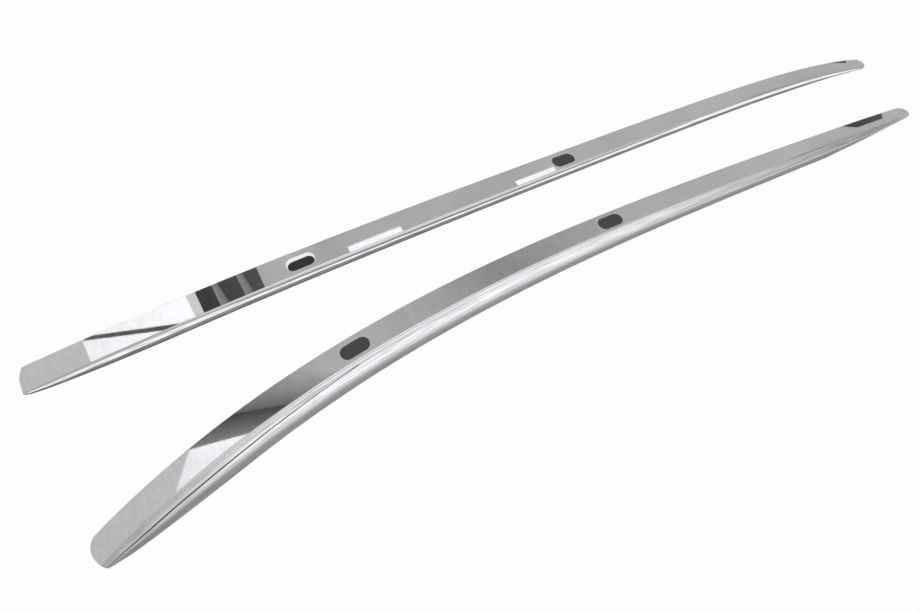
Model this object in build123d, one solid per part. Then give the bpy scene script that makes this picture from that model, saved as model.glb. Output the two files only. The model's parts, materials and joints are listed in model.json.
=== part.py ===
import os
from math import pi, sin

from build123d import *

# Roof side rail pair, millimetres, +Z up, +X from the front ends to the rear ends.
# Each rail is an arched open-bottom channel with a flat top, a tall outer side and a
# short inner side, all tapering to thin rounded ends. The right rail mirrors the left one
# and is a little longer.

# Spine of the top face: chord, and arch and sideways bow as shares of the chord.
left_length = 1600.0
right_length = 1648.0
arch_mid = 0.0600
arch_skew = -0.0271
arch_spread = 0.0256
arch_twist = 0.0057
bow_mid = 0.0225
bow_skew = -0.0240
bow_spread = 0.0018
bow_twist = -0.0034

# Section: flat top, slanting convex outer side, short inner side.
top_width_front = 35.3
top_width_rear = 22.5
tilt_mid = -3.5
tilt_skew = 1.1
tilt_spread = -0.8
crease_radius = 4.0
outer_height_front = 32.0
outer_height_rear = 16.5
outer_slant = 0.52
inner_height_front = 19.0
inner_height_rear = 14.5
inner_slant = 0.14
nose_thickness = 2.0
side_bulge = 0.06
top_wall = 3.5
channel_overcut = 25.0

# Ends.
front_taper = 0.13
rear_taper = 0.20
front_fullness = 0.6
front_round = 17.0
rear_round = 34.0
channel_start = 0.045
channel_end = 0.955

# Slots for the cross bars and their covers.
front_slot_at = 0.2386
rear_slot_at = 0.5086
slot_length = 42.0
slot_width = 20.5
cover_clearance = 0.3
flange_margin = 2.5
flange_thickness = 2.0
rear_cover_dip = 2.2
rear_cover_slope = 3.0

# Fixings inside the channel.
fixing_at = (0.155, 0.345, 0.640, 0.860)
fixing_names = ("front", "mid_front", "mid_rear", "rear")
block_length = 36.0
block_drop = 14.0
thread_radius = 2.5
thread_depth = 5.0
pad_thickness = 1.5
pad_hole_radius = 3.5

# Layout of the pair.
toe_angle = 2.295
right_shift_x = -16.5
right_shift_y = 273.8

stations = (
    0.0, 0.02, 0.04, 0.06, 0.08, 0.105, 0.15, 0.21, 0.27, 0.34, 0.42, 0.50,
    0.58, 0.66, 0.74, 0.80, 0.85, 0.885, 0.92, 0.955, 1.0,
)


def bump(t, mid, skew, spread, twist):
    s = 2 * t - 1
    return 4 * t * (1 - t) * (mid + skew * s + spread * s**2 + twist * s**3)


def rise(u):
    return sin(pi / 2 * min(max(u, 0.0), 1.0))


def end_share(t):
    return min(rise(t / front_taper) ** front_fullness, rise((1 - t) / rear_taper))


def between(front, rear, t):
    return front + (rear - front) * t


def half_width(t):
    return between(top_width_front, top_width_rear, t) / 2


def outer_height(t):
    full = between(outer_height_front, outer_height_rear, t)
    return between(nose_thickness, full, end_share(t))


def inner_height(t):
    full = between(inner_height_front, inner_height_rear, t)
    return between(nose_thickness, full, end_share(t))


class Rail:
    """One rail as a left one, lying along +X from its front end, outer side towards -Y."""

    def __init__(self, length):
        self.length = length
        self.outer = loft([self.outer_section(t) for t in stations])
        inside = [t for t in stations if channel_start < t < channel_end]
        ends = (channel_start, *inside, channel_end)
        self.channel = loft([self.channel_section(t) for t in ends])

    def spine(self, t):
        y = bump(t, bow_mid, bow_skew, bow_spread, bow_twist)
        z = bump(t, arch_mid, arch_skew, arch_spread, arch_twist)
        return Vector(t, y, z) * self.length

    def section_frame(self, t):
        s = 2 * t - 1
        tilt = tilt_mid + tilt_skew * s + tilt_spread * s * s
        upright = Plane(origin=self.spine(t), x_dir=(0, 1, 0), z_dir=(1, 0, 0))
        return upright.rotated((0, 0, tilt))

    def surface_frame(self, t):
        step = 0.002
        along = self.spine(t + step) - self.spine(t - step)
        across = self.section_frame(t).x_dir
        return Plane(origin=self.spine(t), x_dir=along, z_dir=along.cross(across))

    def outer_section(self, t):
        half = half_width(t)
        sides = ((-1, outer_height(t), outer_slant), (1, inner_height(t), inner_slant))
        corners = []
        for side, h, slant in sides:
            r = crease_radius * h / (h + crease_radius)
            edge = (side * half, 0)
            turn = (side * (half + 0.60 * r), -0.25 * r)
            brow = (side * (half + r), -0.8 * r)
            foot = (side * (half + r + slant * h), -h)
            bulge = side_bulge * h
            belly = (side * (half + r + slant * h / 2 + bulge), -(0.8 * r + h) / 2 + slant * bulge)
            corners.append((edge, turn, brow, belly, foot))
        near, far = corners
        outline = Line(near[0], far[0])
        outline += ThreePointArc(far[0], far[1], far[2])
        outline += ThreePointArc(far[2], far[3], far[4])
        outline += Line(far[4], near[4])
        outline += ThreePointArc(near[4], near[3], near[2])
        outline += ThreePointArc(near[2], near[1], near[0])
        return self.section_frame(t) * make_face(outline)

    def channel_section(self, t):
        half = half_width(t)
        near_h = outer_height(t)
        far_h = inner_height(t)
        near = half + outer_slant * near_h
        far = half + inner_slant * far_h
        outline = Polyline(
            (-half, -top_wall),
            (half, -top_wall),
            (far, -far_h),
            (far, -far_h - channel_overcut),
            (-near, -near_h - channel_overcut),
            (-near, -near_h),
            close=True,
        )
        return self.section_frame(t) * make_face(outline)

    def end_trim(self, t, inward, length):
        reach = half_width(t) + crease_radius
        tip = self.spine(t)
        along = self.spine(t + inward * 0.02) - tip
        frame = Plane(origin=(tip.X, tip.Y, 0), x_dir=(along.X, along.Y, 0), z_dir=(0, 0, 1))
        waste = Rectangle(2 * length, 4 * reach)
        keep = Pos(length, 0) * Ellipse(length, reach)
        return extrude(frame * (waste - keep), 200, both=True)

    def obround(self, t, margin, height):
        outline = SlotOverall(slot_length + 2 * margin, slot_width + 2 * margin)
        return extrude(self.surface_frame(t) * outline, height, both=True)

    def body(self):
        shape = self.outer - self.channel
        shape = shape - self.end_trim(0, 1, front_round) - self.end_trim(1, -1, rear_round)
        for at in (front_slot_at, rear_slot_at):
            shape = shape - self.obround(at, 0, 12)
        return shape

    def slot_cover(self, t, sink, slope):
        place = self.surface_frame(t).location
        plug = self.obround(t, -cover_clearance, 30) & (self.outer - self.channel)
        flange = self.obround(t, flange_margin, 30) & self.channel
        band = top_wall + flange_thickness
        slab = Pos(0, 0, 2 - band / 2) * Box(2 * slot_length, 2 * slot_width, band + 4)
        cover = (flange + plug) & (place * slab)
        if sink > 0:
            above = Pos(0, 0, -sink) * Rot(0, slope, 0) * Pos(0, 0, 20)
            cover = cover - place * above * Box(2 * slot_length, 2 * slot_width, 40)
        return cover

    def fixing(self, t):
        base = self.spine(t)
        seat = Pos(base.X, base.Y, base.Z - block_drop)
        block = seat * Pos(0, 0, 10) * Box(block_length, 4 * slot_width, 20)
        bore = seat * Pos(0, 0, thread_depth / 2) * Cylinder(thread_radius, thread_depth)
        pad = seat * Pos(0, 0, -pad_thickness / 2) * Box(block_length, 4 * slot_width, pad_thickness)
        hole = seat * Cylinder(pad_hole_radius, 4 * pad_thickness)
        return (block & self.channel) - bore, (pad & self.channel) - hole

    def pieces(self, front_sink, rear_sink, rear_slope):
        found = {
            "rail_body": self.body(),
            "front_slot_cover": self.slot_cover(front_slot_at, front_sink, 0),
            "rear_slot_cover": self.slot_cover(rear_slot_at, rear_sink, rear_slope),
        }
        for name, t in zip(fixing_names, fixing_at):
            found[name + "_block"], found[name + "_pad"] = self.fixing(t)
        return found


left = Rail(left_length).pieces(0, 0, 0)
right = Rail(right_length).pieces(top_wall, rear_cover_dip, rear_cover_slope)

left_place = Rot(0, 0, toe_angle)
right_place = Pos(right_shift_x, right_shift_y, 0) * Rot(0, 0, -toe_angle)
parts = {}
for name, shape in left.items():
    parts["left_" + name] = left_place * shape
for name, shape in right.items():
    parts["right_" + name] = right_place * mirror(shape, Plane.XZ)

drop = {}
for side in ("left", "right"):
    drop[side] = -parts[side + "_rail_body"].bounding_box().min.Z
box = parts["left_rail_body"].bounding_box().add(parts["right_rail_body"].bounding_box())
os.makedirs("parts", exist_ok=True)
for name, shape in parts.items():
    side = name.split("_")[0]
    settled = Pos(-box.center().X, -box.center().Y, drop[side]) * shape
    export_step(settled, "parts/" + name + ".step")
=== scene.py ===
"""Roof side rail pair: finishes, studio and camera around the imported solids."""

import json
import math

import bmesh
import bpy
from mathutils import Matrix, Vector


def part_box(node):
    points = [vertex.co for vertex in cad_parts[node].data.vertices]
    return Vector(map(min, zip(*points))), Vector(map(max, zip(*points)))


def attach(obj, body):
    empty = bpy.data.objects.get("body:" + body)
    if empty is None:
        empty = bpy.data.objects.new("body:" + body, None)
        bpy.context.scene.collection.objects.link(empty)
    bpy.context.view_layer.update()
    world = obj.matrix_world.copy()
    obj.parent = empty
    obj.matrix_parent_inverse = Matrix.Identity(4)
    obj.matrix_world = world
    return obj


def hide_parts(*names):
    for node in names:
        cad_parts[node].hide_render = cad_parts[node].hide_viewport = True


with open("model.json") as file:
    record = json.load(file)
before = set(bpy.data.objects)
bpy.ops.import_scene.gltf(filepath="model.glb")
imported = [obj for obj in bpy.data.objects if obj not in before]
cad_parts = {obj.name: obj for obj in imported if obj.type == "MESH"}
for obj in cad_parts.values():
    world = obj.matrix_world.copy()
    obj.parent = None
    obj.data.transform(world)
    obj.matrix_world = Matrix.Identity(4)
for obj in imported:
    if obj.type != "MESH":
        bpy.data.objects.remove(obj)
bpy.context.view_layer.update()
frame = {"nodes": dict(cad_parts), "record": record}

bl_info = {
    "name": "Roof Side Rail Pair",
    "version": (1, 0, 0),
    "blender": (4, 5, 0),
    "location": "View3D > Sidebar > Rails",
    "description": "Polished roof side rails with dark slot covers in a pale studio",
    "category": "Object",
}

# Crease beside the flat top, as shares of its radius: edge and turn outwards, turn and brow down.
SOFT_CREASE = (0.0, 0.60)
CRISP_CREASE = (0.7, 0.92)
TURN_DROP = 0.25
BROW_DROP = 0.8

# Steps along the arcs, where the points of the flat top lie across it, and sections along a rail.
OUTER_SIDE_STEPS = 16
INNER_SIDE_STEPS = 12
CREASE_STEPS = 8
SLOT_END_STEPS = 24
RAIL_END_STEPS = 48
TOP_SHARES = (0, 0.012, 0.12, 0.26, 0.42, 0.58, 0.74, 0.88, 0.988)
SKIN_SECTIONS = 700
CHANNEL_SECTIONS = 200

# How far the cutters reach: down from the feet, and up and down from the top face and the chord.
CHANNEL_OVERCUT = 0.025
SLOT_CUT_REACH = 0.012
END_CUT_REACH = 0.2

# Edges that bend more than this stay sharp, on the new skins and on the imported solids.
SKIN_SHARP_ANGLE = math.radians(30)
SOLID_SHARP_ANGLE = math.radians(28)

# Where most of a grain's mask and of a cloud's noise lies.
GRAIN_SPAN = (0.1, 0.5)
CLOUD_SPAN = (0.3, 0.7)

# Studio: the dome that most cards hang on, and the floor just under the lowest tips.
DOME_RADIUS = 8.0
FLOOR_HEIGHT = -0.003
FLOOR_REACH = 30.0

# A line across the top face ahead of the front end, as shares of the rail's length.
BEFORE_FRONT = (-0.02, -0.02)

# Width of the image that the focal length is measured in.
IMAGE_WIDTH = 920

# The finished rails by side, which the cards are placed by.
rails = {}


class RailShape(bpy.types.PropertyGroup):
    """Sizes of the rail bodies; the end roundings and the open slot's walls are the skins' own."""

    left_length: bpy.props.FloatProperty(
        name="Left length", description="Chord of the left rail", unit="LENGTH", default=1.600
    )
    right_length: bpy.props.FloatProperty(
        name="Right length", description="Chord of the right rail", unit="LENGTH", default=1.648
    )
    arch: bpy.props.FloatVectorProperty(
        name="Arch",
        description="Mid, skew, spread and twist of the arch, as shares of the chord",
        size=4,
        default=(0.0600, -0.0271, 0.0256, 0.0057),
    )
    bow: bpy.props.FloatVectorProperty(
        name="Bow",
        description="Mid, skew, spread and twist of the sideways bow, as shares of the chord",
        size=4,
        default=(0.0225, -0.0240, 0.0018, -0.0034),
    )
    tilt: bpy.props.FloatVectorProperty(
        name="Tilt",
        description="Mid, skew and spread of the top face's tilt, in degrees",
        size=3,
        default=(-3.5, 1.1, -0.8),
    )
    top_width: bpy.props.FloatVectorProperty(
        name="Top width",
        description="Width of the flat top at the front and at the rear",
        unit="LENGTH",
        size=2,
        default=(0.0353, 0.0225),
    )
    outer_height: bpy.props.FloatVectorProperty(
        name="Outer height",
        description="Height of the outer side at the front and at the rear",
        unit="LENGTH",
        size=2,
        default=(0.0320, 0.0165),
    )
    inner_height: bpy.props.FloatVectorProperty(
        name="Inner height",
        description="Height of the inner side at the front and at the rear",
        unit="LENGTH",
        size=2,
        default=(0.0190, 0.0145),
    )
    slant: bpy.props.FloatVectorProperty(
        name="Slant",
        description="How far the outer and the inner side lean out, as shares of their heights",
        size=2,
        default=(0.52, 0.14),
    )
    crease_radius: bpy.props.FloatProperty(
        name="Crease radius", description="Rounding beside the flat top", unit="LENGTH", default=0.004
    )
    side_bulge: bpy.props.FloatProperty(
        name="Side bulge", description="Bulge of the sides, as a share of their heights", default=0.06
    )
    nose_thickness: bpy.props.FloatProperty(
        name="Nose thickness", description="Thickness of the ends", unit="LENGTH", default=0.002
    )
    top_wall: bpy.props.FloatProperty(
        name="Top wall", description="Thickness of the flat top", unit="LENGTH", default=0.0035
    )
    taper: bpy.props.FloatVectorProperty(
        name="Taper",
        description="Share of the length over which the front and the rear taper",
        size=2,
        default=(0.13, 0.20),
    )
    front_fullness: bpy.props.FloatProperty(
        name="Front fullness", description="How quickly the front end gains its height", default=0.6
    )
    left_front_round: bpy.props.FloatVectorProperty(
        name="Left front rounding",
        description="Length of the left front end's rounding at its outer and inner side",
        unit="LENGTH",
        size=2,
        default=(0.006, 0.024),
    )
    right_front_round: bpy.props.FloatVectorProperty(
        name="Right front rounding",
        description="Length of the right front end's rounding at its outer and inner side",
        unit="LENGTH",
        size=2,
        default=(0.014, 0.006),
    )
    rear_round: bpy.props.FloatVectorProperty(
        name="Rear rounding",
        description="Length of the rear ends' rounding at their outer and inner sides",
        unit="LENGTH",
        size=2,
        default=(0.030, 0.034),
    )
    channel_span: bpy.props.FloatVectorProperty(
        name="Channel span",
        description="Where the open channel starts and ends along the rail",
        size=2,
        default=(0.045, 0.955),
    )
    slot_at: bpy.props.FloatVectorProperty(
        name="Slots at", description="Where the slots lie along the rail", size=2, default=(0.2386, 0.5086)
    )
    slot_size: bpy.props.FloatVectorProperty(
        name="Slot size",
        description="Length and width of a slot",
        unit="LENGTH",
        size=2,
        default=(0.0420, 0.0205),
    )
    slot_slope: bpy.props.FloatProperty(
        name="Slot slope",
        description="How far the walls of the open slot lean in",
        unit="LENGTH",
        default=0.0031,
    )
    slot_drift: bpy.props.FloatProperty(
        name="Slot drift",
        description="How far the open slot's bottom lies off its middle, towards the inner side",
        unit="LENGTH",
        default=0.0026,
    )
    toe_angle: bpy.props.FloatProperty(
        name="Toe angle",
        description="Turn of each rail about the vertical",
        subtype="ANGLE",
        default=math.radians(2.295),
    )


class RailFinish(bpy.types.PropertyGroup):
    """Finish of the rails, covers and fixings, with painted shade on the cover in the open slot and a
    painted highlight on the slots' walls.
    """

    rail_colour: bpy.props.FloatVectorProperty(
        name="Rail colour",
        description="Tone of the polished metal",
        subtype="COLOR",
        size=4,
        min=0.0,
        max=1.0,
        default=(0.82, 0.826, 0.848, 1.0),
    )
    rail_roughness: bpy.props.FloatProperty(
        name="Rail roughness",
        description="Roughness between the polish lines",
        subtype="FACTOR",
        min=0.0,
        max=1.0,
        default=0.012,
    )
    cover_colour: bpy.props.FloatVectorProperty(
        name="Cover colour",
        description="Tone of the matte slot covers",
        subtype="COLOR",
        size=4,
        min=0.0,
        max=1.0,
        default=(0.034, 0.035, 0.036, 1.0),
    )
    # Painted shade: the cover deep in the open slot gets this darker tone for the shade of the slot around
    # it.
    shaded_cover_colour: bpy.props.FloatVectorProperty(
        name="Shaded cover colour",
        description="Tone of the cover deep in the open slot",
        subtype="COLOR",
        size=4,
        min=0.0,
        max=1.0,
        default=(0.012, 0.012, 0.013, 1.0),
    )
    # Painted highlight: the slots' cut walls get this near-white tone for the light they catch; only their
    # rougher satin is the walls' own.
    lit_wall_colour: bpy.props.FloatVectorProperty(
        name="Lit slot wall colour",
        description="Tone of the bright cut walls of the slots",
        subtype="COLOR",
        size=4,
        min=0.0,
        max=1.0,
        default=(0.93, 0.93, 0.93, 1.0),
    )
    block_colour: bpy.props.FloatVectorProperty(
        name="Block colour",
        description="Tone of the milled mounting blocks",
        subtype="COLOR",
        size=4,
        min=0.0,
        max=1.0,
        default=(0.55, 0.55, 0.56, 1.0),
    )
    pad_colour: bpy.props.FloatVectorProperty(
        name="Pad colour",
        description="Tone of the rubber sealing pads",
        subtype="COLOR",
        size=4,
        min=0.0,
        max=1.0,
        default=(0.025, 0.025, 0.025, 1.0),
    )


class RailStudio(bpy.types.PropertyGroup):
    """Floor, cards, surroundings and camera."""

    floor_colour: bpy.props.FloatVectorProperty(
        name="Floor colour",
        description="Tone of the pale floor",
        subtype="COLOR",
        size=4,
        min=0.0,
        max=1.0,
        default=(0.983, 0.983, 0.983, 1.0),
    )
    sky_strength: bpy.props.FloatProperty(
        name="Sky strength",
        description="Brightness of the white surroundings",
        min=0.0,
        default=1.0,
    )
    mirror_tone: bpy.props.FloatProperty(
        name="Mirrored tone",
        description="Brightness of the grey hall that the polished faces mirror",
        min=0.0,
        default=0.48,
    )
    floor_mirror_tone: bpy.props.FloatProperty(
        name="Mirrored floor tone",
        description="Brightness of the floor in the polished faces",
        min=0.0,
        default=1.06,
    )
    floor_strip_tone: bpy.props.FloatProperty(
        name="Floor strip tone",
        description="Brightness of the strip that the outer side mirrors in front of the pair",
        min=0.0,
        default=0.30,
    )
    camera_place: bpy.props.FloatVectorProperty(
        name="Camera place",
        description="Where the camera stands",
        subtype="TRANSLATION",
        unit="LENGTH",
        size=3,
        default=(-0.5974, -0.4894, 0.9058),
    )
    camera_yaw: bpy.props.FloatProperty(
        name="Camera yaw",
        description="Bearing of the view, from +Y towards +X",
        subtype="ANGLE",
        default=0.68038,
    )
    camera_dip: bpy.props.FloatProperty(
        name="Camera dip",
        description="How far the view looks down",
        subtype="ANGLE",
        default=1.00486,
    )
    camera_roll: bpy.props.FloatProperty(
        name="Camera roll",
        description="Turn of the image about the view",
        subtype="ANGLE",
        default=-0.15918,
    )
    focal_pixels: bpy.props.FloatProperty(
        name="Focal length in pixels",
        description="Focal length measured in the image's pixels",
        default=704.99,
    )


def feed(tree, value, socket):
    """Links another node's output to a socket, or sets the socket to a plain value."""
    if isinstance(value, bpy.types.NodeSocket):
        tree.links.new(value, socket)
    else:
        socket.default_value = value


def linked(tree, kind, **sockets):
    """A node whose named inputs are set to a value or linked to another node's output."""
    node = tree.nodes.new(kind)
    for label, value in sockets.items():
        feed(tree, value, node.inputs[label.replace("_", " ")])
    return node


def reckoned(tree, operation, first, second):
    """The result of a math node on two values."""
    node = tree.nodes.new("ShaderNodeMath")
    node.operation = operation
    feed(tree, first, node.inputs[0])
    feed(tree, second, node.inputs[1])
    return node.outputs[0]


def ranged(tree, value, span, low, high):
    """A value that varies within the span, spread from low to high."""
    least, most = span
    node = linked(
        tree, "ShaderNodeMapRange", Value=value, From_Min=least, From_Max=most, To_Min=low, To_Max=high
    )
    return node.outputs["Result"]


def tone_mix(tree, mask, low, high):
    """A colour that goes from low to high with the mask."""
    mix = tree.nodes.new("ShaderNodeMix")
    mix.data_type = "RGBA"
    tree.links.new(mask, mix.inputs["Factor"])
    feed(tree, low, mix.inputs["A"])
    feed(tree, high, mix.inputs["B"])
    return mix.outputs["Result"]


def surface_grain():
    """The node group for streaks and specks on a surface, as a mask and a height."""
    name = "Surface grain"
    if name in bpy.data.node_groups:
        return bpy.data.node_groups[name]
    tree = bpy.data.node_groups.new(name, "ShaderNodeTree")
    for label, kind in (("Fine", "NodeSocketFloat"), ("Stretch", "NodeSocketVector")):
        tree.interface.new_socket(label, in_out="INPUT", socket_type=kind)
    for label in ("Mask", "Height"):
        tree.interface.new_socket(label, in_out="OUTPUT", socket_type="NodeSocketFloat")
    given = tree.nodes.new("NodeGroupInput")
    result = tree.nodes.new("NodeGroupOutput")
    place = tree.nodes.new("ShaderNodeTexCoord").outputs["Object"]
    stretched = tree.nodes.new("ShaderNodeVectorMath")
    stretched.operation = "MULTIPLY"
    tree.links.new(place, stretched.inputs[0])
    tree.links.new(given.outputs["Stretch"], stretched.inputs[1])
    streak = linked(
        tree,
        "ShaderNodeTexNoise",
        Vector=stretched.outputs[0],
        Scale=given.outputs["Fine"],
        Detail=4.0,
    )
    cloud = linked(tree, "ShaderNodeTexNoise", Vector=place, Scale=9.0, Detail=3.0)
    mask = reckoned(tree, "MULTIPLY", streak.outputs["Fac"], cloud.outputs["Fac"])
    tree.links.new(mask, result.inputs["Mask"])
    tree.links.new(streak.outputs["Fac"], result.inputs["Height"])
    return tree


def shade(colour, factor):
    """The colour made lighter or darker."""
    return tuple(min(1.0, c * factor) for c in colour[:3]) + (1.0,)


def bumped(tree, shader, height, strength, distance):
    """Puts the height on the shader's normal as a bump."""
    relief = linked(tree, "ShaderNodeBump", Strength=strength, Distance=distance, Height=height)
    tree.links.new(relief.outputs["Normal"], shader.inputs["Normal"])


def grained(name, metallic, tone, tint, roughness, fine, stretch=(1.0, 1.0, 1.0), relief=None):
    """A finish whose tone, roughness and relief (strength and depth) follow its grain."""
    material = bpy.data.materials.new(name)
    material.use_nodes = True
    tree = material.node_tree
    shader = tree.nodes["Principled BSDF"]
    shader.inputs["Metallic"].default_value = metallic
    grain = tree.nodes.new("ShaderNodeGroup")
    grain.node_tree = surface_grain()
    grain.inputs["Fine"].default_value = fine
    grain.inputs["Stretch"].default_value = stretch
    mask = grain.outputs["Mask"]
    tree.links.new(tone_mix(tree, mask, tone, shade(tone, tint)), shader.inputs["Base Color"])
    tree.links.new(ranged(tree, mask, GRAIN_SPAN, *roughness), shader.inputs["Roughness"])
    if relief:
        bumped(tree, shader, grain.outputs["Height"], *relief)
    return material


def polished_metal(finish):
    """Mirror-polished aluminium with faint lines along the rail."""
    line_roughness = 0.02
    return grained(
        "Polished rail",
        metallic=1.0,
        tone=finish.rail_colour,
        tint=0.94,
        roughness=(finish.rail_roughness, finish.rail_roughness + line_roughness),
        fine=260.0,
        stretch=(0.02, 1.0, 1.0),
    )


def matte_cover(name, tone):
    """Dark grained plastic."""
    return grained(
        name,
        metallic=0.0,
        tone=tone,
        tint=1.5,
        roughness=(0.5, 0.65),
        fine=1400.0,
        relief=(0.25, 0.0002),
    )


def lit_cut_wall(finish):
    """Satin wall of a slot, with lines of the cutter, painted near white and not metallic: a painted
    highlight for the light that the cut walls catch.
    """
    return grained(
        "Lit slot wall",
        metallic=0.0,
        tone=finish.lit_wall_colour,
        tint=0.9,
        roughness=(0.35, 0.5),
        fine=900.0,
        stretch=(1.0, 1.0, 0.05),
    )


def milled_block(finish):
    """Plain milled aluminium with tool lines."""
    return grained(
        "Mounting block",
        metallic=1.0,
        tone=finish.block_colour,
        tint=0.8,
        roughness=(0.3, 0.45),
        fine=700.0,
        stretch=(1.0, 0.05, 1.0),
        relief=(0.2, 0.0002),
    )


def soft_rubber(finish):
    """Black rubber with a dusty bloom."""
    return grained(
        "Sealing pad",
        metallic=0.0,
        tone=finish.pad_colour,
        tint=2.2,
        roughness=(0.7, 0.9),
        fine=500.0,
        relief=(0.3, 0.0003),
    )


def dress(slot, material):
    """Gives the solids of one of the record's material slots their finish."""
    for part in frame["record"]["subparts"]:
        if part["material_slot"] == slot:
            mesh = frame["nodes"][part["node"]].data
            mesh.materials.clear()
            mesh.materials.append(material)
            mesh.shade_smooth()
            mesh.set_sharp_from_angle(angle=SOLID_SHARP_ANGLE)


def arc(first, middle, last, steps):
    """Points of the circle's arc from the first point through the middle one to the last."""
    ax, ay = first
    bx, by = middle
    cx, cy = last
    twice = 2 * (ax * (by - cy) + bx * (cy - ay) + cx * (ay - by))
    a2, b2, c2 = ax * ax + ay * ay, bx * bx + by * by, cx * cx + cy * cy
    ox = (a2 * (by - cy) + b2 * (cy - ay) + c2 * (ay - by)) / twice
    oy = (a2 * (cx - bx) + b2 * (ax - cx) + c2 * (bx - ax)) / twice
    radius = math.hypot(ax - ox, ay - oy)
    start = math.atan2(ay - oy, ax - ox)
    midway = math.atan2(by - oy, bx - ox)
    end = math.atan2(cy - oy, cx - ox)
    turn = math.remainder(midway - start, math.tau) + math.remainder(end - midway, math.tau)
    angles = [start + turn * i / steps for i in range(steps + 1)]
    return [(ox + radius * math.cos(q), oy + radius * math.sin(q)) for q in angles]


def between(pair, t):
    """The value at t between a pair's first and last values."""
    return pair[0] + (pair[1] - pair[0]) * t


def bump(t, curve):
    """A curve that is zero at both ends, from its mid, skew, spread and twist."""
    s = 2 * t - 1
    mid, skew, spread, twist = curve
    return 4 * t * (1 - t) * (mid + skew * s + spread * s**2 + twist * s**3)


def rise(u):
    """From 0 to 1, levelling out at the end."""
    return math.sin(math.pi / 2 * min(max(u, 0.0), 1.0))


class RailForm:
    """One rail's surface; the right one is the mirror image of a left one."""

    def __init__(self, shape, side):
        self.shape = shape
        self.side = side
        self.offset = Vector((0, 0, 0))
        if side == "left":
            self.sign = 1
            self.length = shape.left_length
            self.front_round = shape.left_front_round
            self.front_slot_lean = (0, 0)
        else:
            self.sign = -1
            self.length = shape.right_length
            self.front_round = shape.right_front_round
            self.front_slot_lean = (shape.slot_slope, shape.slot_drift)

    def placed(self, x, y, z):
        """A point of the left form where this rail lies."""
        turn = Matrix.Rotation(self.sign * self.shape.toe_angle, 3, "Z")
        return turn @ Vector((x, self.sign * y, z)) + self.offset

    def end_share(self, t):
        """How much of the full height the tapers leave at t."""
        front = rise(t / self.shape.taper[0]) ** self.shape.front_fullness
        return min(front, rise((1 - t) / self.shape.taper[1]))

    def height(self, pair, t):
        """A side's height at t, from its heights at the front and at the rear."""
        nose = self.shape.nose_thickness
        return nose + (between(pair, t) - nose) * self.end_share(t)

    def half(self, t):
        """Half the width of the flat top at t."""
        return between(self.shape.top_width, t) / 2

    def spine(self, t):
        """The middle of the flat top at t, in the left form."""
        return Vector((t, bump(t, self.shape.bow), bump(t, self.shape.arch))) * self.length

    def local(self, t, across, up):
        """A section point in the left form."""
        s = 2 * t - 1
        mid, skew, spread = self.shape.tilt
        tilt = math.radians(mid + skew * s + spread * s * s)
        base = self.spine(t)
        y = across * math.cos(tilt) - up * math.sin(tilt)
        z = across * math.sin(tilt) + up * math.cos(tilt)
        return base + Vector((0, y, z))

    def point(self, t, across, up):
        """A section point where this rail lies."""
        return self.placed(*self.local(t, across, up))

    def corners(self, t, side):
        """Edge, turn, brow, belly and foot of the section's outer (-1) or inner (1) side."""
        shape = self.shape
        h = self.height(shape.outer_height if side < 0 else shape.inner_height, t)
        slant = shape.slant[0 if side < 0 else 1]
        r = shape.crease_radius * h / (h + shape.crease_radius)
        half = self.half(t)
        bulge = shape.side_bulge * h
        edge_out, turn_out = CRISP_CREASE if side == self.sign else SOFT_CREASE
        edge = (side * (half + edge_out * r), 0)
        turn = (side * (half + turn_out * r), -TURN_DROP * r)
        brow = (side * (half + r), -BROW_DROP * r)
        belly = (side * (half + r + slant * h / 2 + bulge), -(BROW_DROP * r + h) / 2 + slant * bulge)
        foot = (side * (half + r + slant * h), -h)
        return edge, turn, brow, belly, foot

    def outline(self, t):
        """The closed outer section, from the outer foot over the top to the inner foot."""
        edge, turn, brow, belly, foot = self.corners(t, -1)
        far_edge, far_turn, far_brow, far_belly, far_foot = self.corners(t, 1)
        points = arc(foot, belly, brow, OUTER_SIDE_STEPS)[:-1]
        points += arc(brow, turn, edge, CREASE_STEPS)[:-1]
        across = far_edge[0] - edge[0]
        points += [(edge[0] + across * share, 0) for share in TOP_SHARES]
        points += arc(far_edge, far_turn, far_brow, CREASE_STEPS)[:-1]
        points += arc(far_brow, far_belly, far_foot, INNER_SIDE_STEPS)
        return points

    def channel(self, t):
        """The section of the channel that opens downwards."""
        shape = self.shape
        half = self.half(t)
        near_h = self.height(shape.outer_height, t)
        far_h = self.height(shape.inner_height, t)
        near = half + shape.slant[0] * near_h
        far = half + shape.slant[1] * far_h
        return [
            (-half, -shape.top_wall),
            (half, -shape.top_wall),
            (far, -far_h),
            (far, -far_h - CHANNEL_OVERCUT),
            (-near, -near_h - CHANNEL_OVERCUT),
            (-near, -near_h),
        ]

    def facing(self, t):
        """The top face's directions along, across and up, in the left form."""
        step = 0.001
        along = (self.spine(t + step) - self.spine(t - step)).normalized()
        across = self.local(t, 1, 0) - self.local(t, 0, 0)
        up = along.cross(across).normalized()
        return along, up.cross(along), up

    def mirrored(self, t, share, eye):
        """The dome's spot that the eye sees in the top face, at a share of its half width."""
        spot = self.point(t, share * self.half(t), 0)
        up = self.placed(*self.facing(t)[2]) - self.placed(0, 0, 0)
        look = (spot - eye).normalized()
        ray = look - 2 * look.dot(up) * up
        ahead = spot.dot(ray)
        reach = -ahead + math.sqrt(ahead**2 - spot.length_squared + DOME_RADIUS**2)
        return spot + ray * reach


def new_piece(name, points, faces):
    """A mesh object in the scene."""
    mesh = bpy.data.meshes.new(name)
    mesh.from_pydata(points, [], faces)
    piece = bpy.data.objects.new(name, mesh)
    bpy.context.scene.collection.objects.link(piece)
    return piece


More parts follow.
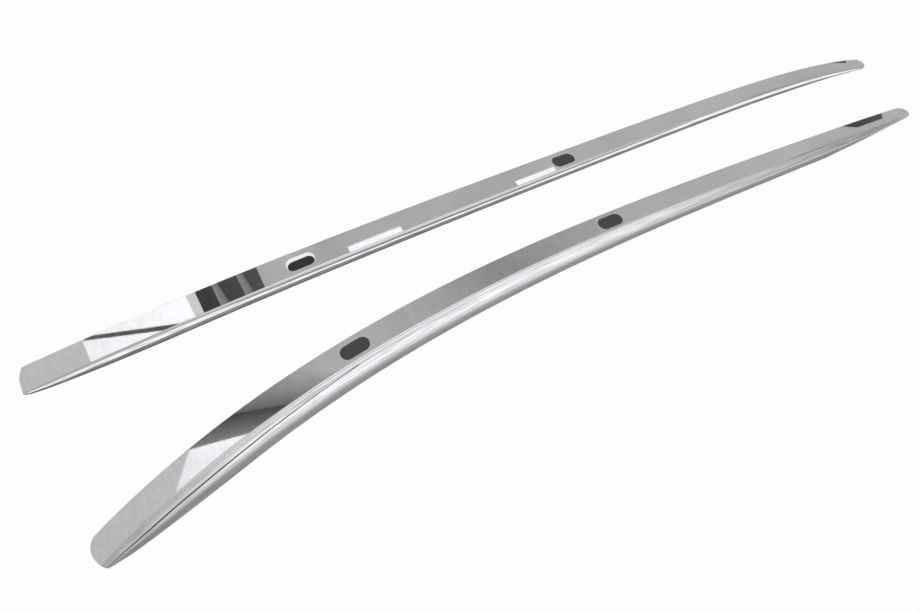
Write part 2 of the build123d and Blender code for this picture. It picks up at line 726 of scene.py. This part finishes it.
def skinned(name, loops):
    """A closed mesh through loops of points, with flat ends and its faces turned outwards."""
    count = len(loops[0])
    points = [p for loop in loops for p in loop]
    faces = [list(range(count)), list(range(len(points) - count, len(points)))]
    for row in range(len(loops) - 1):
        for i in range(count):
            j = (i + 1) % count
            here = row * count
            faces.append([here + i, here + j, here + count + j, here + count + i])
    piece = new_piece(name, points, faces)
    shell = bmesh.new()
    shell.from_mesh(piece.data)
    bmesh.ops.recalc_face_normals(shell, faces=shell.faces)
    shell.to_mesh(piece.data)
    shell.free()
    return piece


def along_rail(first, last, count):
    """Places along the rail, closer together towards both ends."""
    crowding = 0.75
    places = []
    for i in range(count + 1):
        u = i / count
        places.append(first + (last - first) * (u - crowding * math.sin(math.tau * u) / math.tau))
    return places


def obround(length, width):
    """The outline of a slot with round ends."""
    shift = (length - width) / 2
    r = width / 2
    outline = arc((shift, -r), (shift + r, 0), (shift, r), SLOT_END_STEPS)
    return outline + arc((-shift, r), (-shift - r, 0), (-shift, -r), SLOT_END_STEPS)


def slot_cutter(rail, t, slope, drift):
    """A prism through the top in the shape of a slot whose walls may lean in."""
    length, width = rail.shape.slot_size
    along, across, up = rail.facing(t)
    levels = (
        (SLOT_CUT_REACH, 0, 0),
        (0, 0, 0),
        (-rail.shape.top_wall, slope, drift),
        (-SLOT_CUT_REACH, slope, drift),
    )
    loops = []
    for height, lean, shift in levels:
        base = rail.spine(t) + up * height + across * shift
        outline = obround(length - 2 * lean, width - 2 * lean)
        loops.append([rail.placed(*(base + along * x + across * y)) for x, y in outline])
    return skinned("Slot cutter", loops)


def end_cutter(rail, t, inward, rounding):
    """A prism that leaves an end rounded at its outer and inner side."""
    reach = []
    for side, length in zip((-1, 1), rounding):
        section = rail.outline(t + inward * length / rail.length)
        reach.append(max(side * x for x, _ in section))
    step = 0.02
    tip = rail.spine(t)
    along = rail.spine(t + inward * step) - tip
    along.z = 0
    along.normalize()
    across = Vector((-along.y, along.x, 0)) * inward
    wide = 2 * max(reach)
    back = -max(rounding)
    outline = [(back, -wide), (rounding[0], -wide)]
    for i in range(RAIL_END_STEPS + 1):
        q = math.pi / 2 - math.pi * i / RAIL_END_STEPS
        side = 0 if q > 0 else 1
        outline.append((rounding[side] * (1 - math.cos(q)), -reach[side] * math.sin(q)))
    outline += [(rounding[1], wide), (back, wide)]
    loops = []
    for height in (-END_CUT_REACH, END_CUT_REACH):
        base = Vector((tip.x, tip.y, height))
        loops.append([rail.placed(*(base + along * x + across * y)) for x, y in outline])
    return skinned("End cutter", loops)


def rail_body(rail):
    """One rail body: the outer skin less its channel, slots and end roundings."""
    shape = rail.shape
    skin_at = along_rail(0, 1, SKIN_SECTIONS)
    skin = [[rail.point(t, *p) for p in rail.outline(t)] for t in skin_at]
    body = skinned(f"{rail.side}_rail_skin", skin)
    channel_at = along_rail(*shape.channel_span, CHANNEL_SECTIONS)
    channel = [[rail.point(t, *p) for p in rail.channel(t)] for t in channel_at]
    front_slot_at, rear_slot_at = shape.slot_at
    cutters = [
        skinned("Channel cutter", channel),
        slot_cutter(rail, front_slot_at, *rail.front_slot_lean),
        slot_cutter(rail, rear_slot_at, 0, 0),
        end_cutter(rail, 0, 1, rail.front_round),
        end_cutter(rail, 1, -1, shape.rear_round),
    ]
    for cutter in cutters:
        cut = body.modifiers.new("Cut", "BOOLEAN")
        cut.operation = "DIFFERENCE"
        cut.solver = "EXACT"
        cut.object = cutter
    bpy.context.view_layer.update()
    shown = body.evaluated_get(bpy.context.evaluated_depsgraph_get())
    mesh = bpy.data.meshes.new_from_object(shown)
    body.modifiers.clear()
    body.data = mesh
    for cutter in cutters:
        bpy.data.objects.remove(cutter)
    return body


def mark_walls(rail, body):
    """Gives the slots' walls the body's second material, the near-white one with the painted highlight."""
    slack = 0.0004
    top_skin = 0.0002
    level = 0.9
    length, width = rail.shape.slot_size
    start = rail.placed(0, 0, 0)
    for t in rail.shape.slot_at:
        base = rail.placed(*rail.spine(t))
        along, across, up = [rail.placed(*way) - start for way in rail.facing(t)]
        for face in body.data.polygons:
            spot = face.center - base
            in_length = abs(spot.dot(along)) < length / 2 + slack
            in_width = abs(spot.dot(across)) < width / 2 + slack
            in_wall = -rail.shape.top_wall < spot.dot(up) < -top_skin
            if in_length and in_width and in_wall and face.normal.dot(up) < level:
                face.material_index = 1


def settle(rail, body, node):
    """Shifts the body to where its solid lies, with their tops level."""
    low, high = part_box(node)
    found = [v.co for v in body.data.vertices]
    mine_low = Vector([min(p[i] for p in found) for i in range(3)])
    mine_high = Vector([max(p[i] for p in found) for i in range(3)])
    rail.offset = (low + high - mine_low - mine_high) / 2
    rail.offset.z = high[2] - mine_high.z
    body.data.transform(Matrix.Translation(rail.offset))


class RAILS_OT_bodies(bpy.types.Operator):
    """Make the two polished rail bodies"""

    bl_idname = "rails.bodies"
    bl_label = "Rail bodies"

    def execute(self, context):
        finish = context.scene.rail_finish
        metal = polished_metal(finish)
        # The slots' walls get a near-white material, a painted highlight.
        wall = lit_cut_wall(finish)
        for side in ("left", "right"):
            node = side + "_rail_body"
            rail = RailForm(context.scene.rail_shape, side)
            body = rail_body(rail)
            body.data.materials.clear()
            body.data.materials.append(metal)
            body.data.materials.append(wall)
            mark_walls(rail, body)
            settle(rail, body, node)
            body.data.shade_smooth()
            body.data.set_sharp_from_angle(angle=SKIN_SHARP_ANGLE)
            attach(body, "root")
            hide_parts(node)
            rails[side] = rail
        return {"FINISHED"}


class RAILS_OT_covers(bpy.types.Operator):
    """Finish the slot covers, with painted shade on the one in the open slot"""

    bl_idname = "rails.covers"
    bl_label = "Slot covers"

    def execute(self, context):
        finish = context.scene.rail_finish
        dress("slot_cover", matte_cover("Slot cover", finish.cover_colour))
        # Painted shade: a darker copy of the cover material on the cover in the open slot stands in for
        # the slot's shade.
        shaded_mesh = frame["nodes"]["right_front_slot_cover"].data
        shaded_mesh.materials[0] = matte_cover("Shaded cover", finish.shaded_cover_colour)
        return {"FINISHED"}


class RAILS_OT_fixings(bpy.types.Operator):
    """Finish the mounting blocks and sealing pads"""

    bl_idname = "rails.fixings"
    bl_label = "Fixings"

    def execute(self, context):
        finish = context.scene.rail_finish
        dress("mounting_block", milled_block(finish))
        dress("sealing_pad", soft_rubber(finish))
        return {"FINISHED"}


def stage_piece(name, points, faces, material):
    """A piece of the studio."""
    piece = new_piece(name, points, faces)
    piece.data.materials.append(material)
    return piece


def mottled(tree, value, spread, fineness):
    """The value with cloudy variation of the given spread."""
    place = tree.nodes.new("ShaderNodeTexCoord").outputs["Object"]
    cloud = linked(tree, "ShaderNodeTexNoise", Vector=place, Scale=fineness, Detail=3.0)
    factor = ranged(tree, cloud.outputs["Fac"], CLOUD_SPAN, 1 - spread, 1 + spread)
    return reckoned(tree, "MULTIPLY", factor, value)


def card_material(name, spread, fineness):
    """A card that shines at the tone kept in its corners, with cloudy variation."""
    material = bpy.data.materials.new(name)
    material.use_nodes = True
    tree = material.node_tree
    tree.nodes.clear()
    tone = tree.nodes.new("ShaderNodeAttribute")
    tone.attribute_name = "tone"
    cloudy = mottled(tree, tone.outputs["Fac"], spread, fineness)
    glow = linked(tree, "ShaderNodeEmission", Color=cloudy)
    linked(tree, "ShaderNodeOutputMaterial", Surface=glow.outputs[0])
    return material


def card(name, rows, tones, spread=0.0, fineness=1.0, fades=None):
    """A card that only polished faces see, with a tone for each row and a fade for each column."""
    count = len(rows[0])
    fades = fades or [1.0] * count
    points = [p for row in rows for p in row]
    faces = []
    for r in range(len(rows) - 1):
        for i in range(count - 1):
            here = r * count + i
            faces.append([here, here + 1, here + count + 1, here + count])
    piece = stage_piece(name, points, faces, card_material(name, spread, fineness))
    kept = piece.data.attributes.new("tone", "FLOAT", "POINT")
    kept.data.foreach_set("value", [tone * fade for tone in tones for fade in fades])
    piece.visible_camera = False
    piece.visible_shadow = False
    piece.visible_diffuse = False


def dome_spot(bearing, lift):
    """A spot on the dome, from its bearing (from +X towards +Y) and height angle in degrees."""
    turn, climb = math.radians(bearing), math.radians(lift)
    flat = math.cos(climb)
    return Vector((flat * math.cos(turn), flat * math.sin(turn), math.sin(climb))) * DOME_RADIUS


def ring_card(name, turns, profile, spread=0.0, fades=None):
    """A card round part of the dome at the given bearings, with a tone at each height angle."""
    rows = [[dome_spot(turn, lift) for turn in turns] for lift, _ in profile]
    card(name, rows, [tone for _, tone in profile], spread, fineness=2.5, fades=fades)


def top_card(name, rail, eye, first, last, tones, nearer, reach=(-1.2, 1.5)):
    """A card that the top face mirrors between two lines, each given at its two edges."""
    columns = 6
    steps = 10
    rows = []
    for k in range(steps + 1):
        line = [between(ends, k / steps) for ends in zip(first, last)]
        row = []
        for i in range(columns + 1):
            share = reach[0] + (reach[1] - reach[0]) * i / columns
            row.append(rail.mirrored(between(line, (share + 1) / 2), share, eye) * (1 - nearer))
        rows.append(row)
    row_tones = [between(tones, k / steps) for k in range(steps + 1)]
    card(name, rows, row_tones, spread=0.06, fineness=9.0)


def band_cards(rail, eye, start, bands):
    """Cards that the top face mirrors one after the other, each up to its own end line."""
    for name, end, tones, nearer in bands:
        top_card(name, rail, eye, start, end, tones, nearer)
        start = end


def foot_shade(name, rail, share, tone, lift):
    """A strip on the floor along the inner foot, as wide as a share of the rail's height there."""
    tuck = 0.004
    margin = 0.006
    steps = 40
    rows = [[], []]
    for i in range(steps + 1):
        t = i / steps
        height = rail.point(t, 0, 0).z
        inner = rail.half(t)
        for row, out in zip(rows, (inner - tuck, inner + margin + share * height)):
            spot = rail.point(t, out, 0)
            row.append((spot.x, spot.y, FLOOR_HEIGHT + lift))
    card(name, rows, [tone, tone], spread=0.3, fineness=24.0)


def floor_material(studio):
    """Pale floor: even towards the camera, cloudy in the polished faces."""
    material = bpy.data.materials.new("Pale floor")
    material.use_nodes = True
    tree = material.node_tree
    shader = tree.nodes["Principled BSDF"]
    shader.inputs["Base Color"].default_value = studio.floor_colour
    shader.inputs["Roughness"].default_value = 0.9
    shader.inputs["Specular IOR Level"].default_value = 0.0
    path = tree.nodes.new("ShaderNodeLightPath")
    from_camera, from_polish = path.outputs["Is Camera Ray"], path.outputs["Is Glossy Ray"]
    cloudy = mottled(tree, studio.floor_mirror_tone, spread=0.32, fineness=22.0)
    tone = tone_mix(tree, from_camera, cloudy, studio.floor_colour)
    glow = linked(tree, "ShaderNodeEmission", Color=tone)
    mix = linked(tree, "ShaderNodeMixShader", Fac=reckoned(tree, "MAXIMUM", from_camera, from_polish))
    tree.links.new(shader.outputs[0], mix.inputs[1])
    tree.links.new(glow.outputs[0], mix.inputs[2])
    tree.links.new(mix.outputs[0], tree.nodes["Material Output"].inputs["Surface"])
    return material


def lay_floor(studio):
    """The pale floor, and in front of the pair the strip that the outer side mirrors."""
    low, high = -FLOOR_REACH, FLOOR_REACH
    corners = [(x, y, FLOOR_HEIGHT) for x, y in ((low, low), (high, low), (high, high), (low, high))]
    stage_piece("Floor", corners, [[0, 1, 2, 3]], floor_material(studio))
    front_end, rear_end = -2.0, 2.2
    lift = 0.001
    height = FLOOR_HEIGHT + lift
    gains = ((-0.17, 1.0), (-0.40, 1.15), (-0.80, 1.7), (-3.0, 2.2))
    rows = [[(front_end, y, height), (rear_end, y, height)] for y, _ in gains]
    tones = [studio.floor_strip_tone * gain for _, gain in gains]
    card("Floor strip", rows, tones, spread=0.15, fineness=14.0)


def dome_cards():
    """Lights and shades round the dome, given by bearings and by height angles with their tones."""
    front_turns = (-140, -118, -108, -100, -85, -70, -55, -46, -38, -28, -15, 5)
    front_fades = (0.5, 0.5, 0.65, 0.9, 1.0, 1.0, 0.95, 0.8, 0.6, 0.42, 0.36, 0.36)
    front_profile = ((1, 0.75), (8, 1.0), (16, 1.15), (24, 1.0), (30, 0.62))
    ring_card("Front light", front_turns, front_profile, spread=0.25, fades=front_fades)
    crease_turns = range(-170, 6, 7)
    crease_profile = ((31, 0.70), (36, 0.50), (44, 0.50), (50, 0.85))
    ring_card("Crease shade", crease_turns, crease_profile)
    ring_card("Crease light", crease_turns, ((51, 0.95), (76, 0.95)))
    ring_card("Zenith light", range(-180, 181, 12), ((77, 0.95), (89, 0.95)))
    ring_card("Far shade", range(35, 114, 6), ((1, 0.10), (18, 0.10), (24, 0.48)))
    nearer = 0.01
    bar_line = ((-84, 27, 2), (-92, 18, 3), (-100, 12, 4), (-108, 8, 5), (-122, 4, 6))
    bar_rows = []
    for share in (0, 1):
        edge = [dome_spot(turn, lift + share * wide) for turn, lift, wide in bar_line]
        bar_rows.append([spot * (1 - nearer) for spot in edge])
    card("Front bar", bar_rows, [0.10, 0.10])


def left_cards(rail, eye):
    """What the left rail's top face mirrors, from its front end to its rear end."""
    bands = (
        ("Left tongue", (0.072, 0.0925), (0.56, 0.62), 0.015),
        ("Left wedge", (0.136, 0.093), (0.95, 1.15), 0.01),
        ("Left dark band", (0.172, 0.135), (0.24, 0.06), 0.02),
        ("Left dim band", (0.215, 0.190), (0.15, 0.44), 0.01),
    )
    band_cards(rail, eye, BEFORE_FRONT, bands)
    shades = (
        ("Left shade 1", (0.380, 0.380), (0.47, 0.31), 0.0),
        ("Left shade 2", (0.520, 0.520), (0.31, 0.45), 0.0),
    )
    band_cards(rail, eye, (0.290, 0.290), shades)
    inner_half = (0.0, 1.5)
    top_card(
        "Left end shade",
        rail,
        eye,
        first=(0.90, 0.868),
        last=(0.93, 0.948),
        tones=(0.06, 0.10),
        nearer=0.0,
        reach=inner_half,
    )


def right_cards(rail, eye):
    """What the right rail's top face mirrors, from its front end to its middle."""
    white_end = (0.1445, 0.145)
    bands = (
        ("Right tongue", (0.0575, 0.058), (0.54, 0.60), 0.0),
        ("Right white", white_end, (1.05, 1.2), 0.0),
    )
    band_cards(rail, eye, BEFORE_FRONT, bands)
    top_card(
        "Right dark bar",
        rail,
        eye,
        first=(0.058, 0.118),
        last=(0.070, 0.132),
        tones=(0.10, 0.10),
        nearer=0.01,
    )
    patches = (
        ("Right sliver", (0.152, 0.152), (0.72, 0.72), 0.01),
        ("Right dark patch", (0.2045, 0.2035), (0.05, 0.09), 0.0),
    )
    band_cards(rail, eye, white_end, patches)
    outer_width, inner_width = 0.005, 0.007
    for number, t in enumerate((0.166, 0.187), 1):
        end = (t + outer_width, t + inner_width)
        name = f"Right dim bar {number}"
        top_card(name, rail, eye, (t, t), end, tones=(0.30, 0.18), nearer=0.01)
    inner_edge = (0.40, 1.5)
    for number, (t, end) in enumerate(((0.279, 0.329), (0.449, 0.494)), 1):
        name = f"Right glint {number}"
        bright = (1.15, 1.15)
        top_card(name, rail, eye, (t, t), (end, end), bright, nearer=0.01, reach=inner_edge)


def white_sky(scene, studio):
    """Even white surroundings that the polished faces mirror as a grey hall."""
    world = bpy.data.worlds.new("White studio")
    scene.world = world
    world.use_nodes = True
    tree = world.node_tree
    back = tree.nodes["Background"]
    back.inputs["Strength"].default_value = studio.sky_strength
    path = tree.nodes.new("ShaderNodeLightPath")
    white = (1.0, 1.0, 1.0, 1.0)
    hall = mottled(tree, studio.mirror_tone, spread=0.10, fineness=7.0)
    colour = tone_mix(tree, path.outputs["Is Glossy Ray"], white, hall)
    tree.links.new(colour, back.inputs["Color"])


def place_camera(scene, studio):
    """The camera at the photograph's viewing angle."""
    yaw, dip, roll = studio.camera_yaw, studio.camera_dip, studio.camera_roll
    ahead = Vector((math.cos(dip) * math.sin(yaw), math.cos(dip) * math.cos(yaw), -math.sin(dip)))
    level = Vector((math.cos(yaw), -math.sin(yaw), 0.0))
    down = ahead.cross(level)
    right = math.cos(roll) * level + math.sin(roll) * down
    up = math.sin(roll) * level - math.cos(roll) * down
    lens = bpy.data.cameras.new("Photo camera")
    lens.sensor_width = 36.0
    lens.lens = studio.focal_pixels / IMAGE_WIDTH * lens.sensor_width
    camera = bpy.data.objects.new("Photo camera", lens)
    turn = Matrix((right, up, -ahead)).transposed()
    camera.matrix_world = Matrix.Translation(studio.camera_place) @ turn.to_4x4()
    scene.collection.objects.link(camera)
    scene.camera = camera


class RAILS_OT_stage(bpy.types.Operator):
    """Set the floor, the cards, the surroundings and the camera"""

    bl_idname = "rails.stage"
    bl_label = "Studio"

    def execute(self, context):
        scene = context.scene
        studio = scene.rail_studio
        scene.view_settings.view_transform = "Standard"
        white_sky(scene, studio)
        lay_floor(studio)
        dome_cards()
        eye = Vector(studio.camera_place)
        left, right = rails["left"], rails["right"]
        foot_shade("Right floor shade", right, share=1.15, tone=0.28, lift=0.0012)
        foot_shade("Right foot shade", right, share=0.40, tone=0.14, lift=0.0016)
        left_cards(left, eye)
        right_cards(right, eye)
        place_camera(scene, studio)
        return {"FINISHED"}


class RAILS_PT_panel(bpy.types.Panel):
    """Lists the steps that dress the rails"""

    bl_idname = "RAILS_PT_panel"
    bl_label = "Roof side rails"
    bl_space_type = "VIEW_3D"
    bl_region_type = "UI"
    bl_category = "Rails"

    def draw(self, context):
        for step in STEPS:
            self.layout.operator(step.bl_idname)


STEPS = (RAILS_OT_bodies, RAILS_OT_covers, RAILS_OT_fixings, RAILS_OT_stage)
CLASSES = (RailShape, RailFinish, RailStudio, *STEPS, RAILS_PT_panel)


def register():
    for cls in CLASSES:
        bpy.utils.register_class(cls)
    bpy.types.Scene.rail_shape = bpy.props.PointerProperty(type=RailShape)
    bpy.types.Scene.rail_finish = bpy.props.PointerProperty(type=RailFinish)
    bpy.types.Scene.rail_studio = bpy.props.PointerProperty(type=RailStudio)


def unregister():
    del bpy.types.Scene.rail_studio
    del bpy.types.Scene.rail_finish
    del bpy.types.Scene.rail_shape
    for cls in reversed(CLASSES):
        bpy.utils.unregister_class(cls)


def main():
    register()
    bpy.ops.rails.bodies()
    bpy.ops.rails.covers()
    bpy.ops.rails.fixings()
    bpy.ops.rails.stage()


if __name__ == "__main__":
    main()
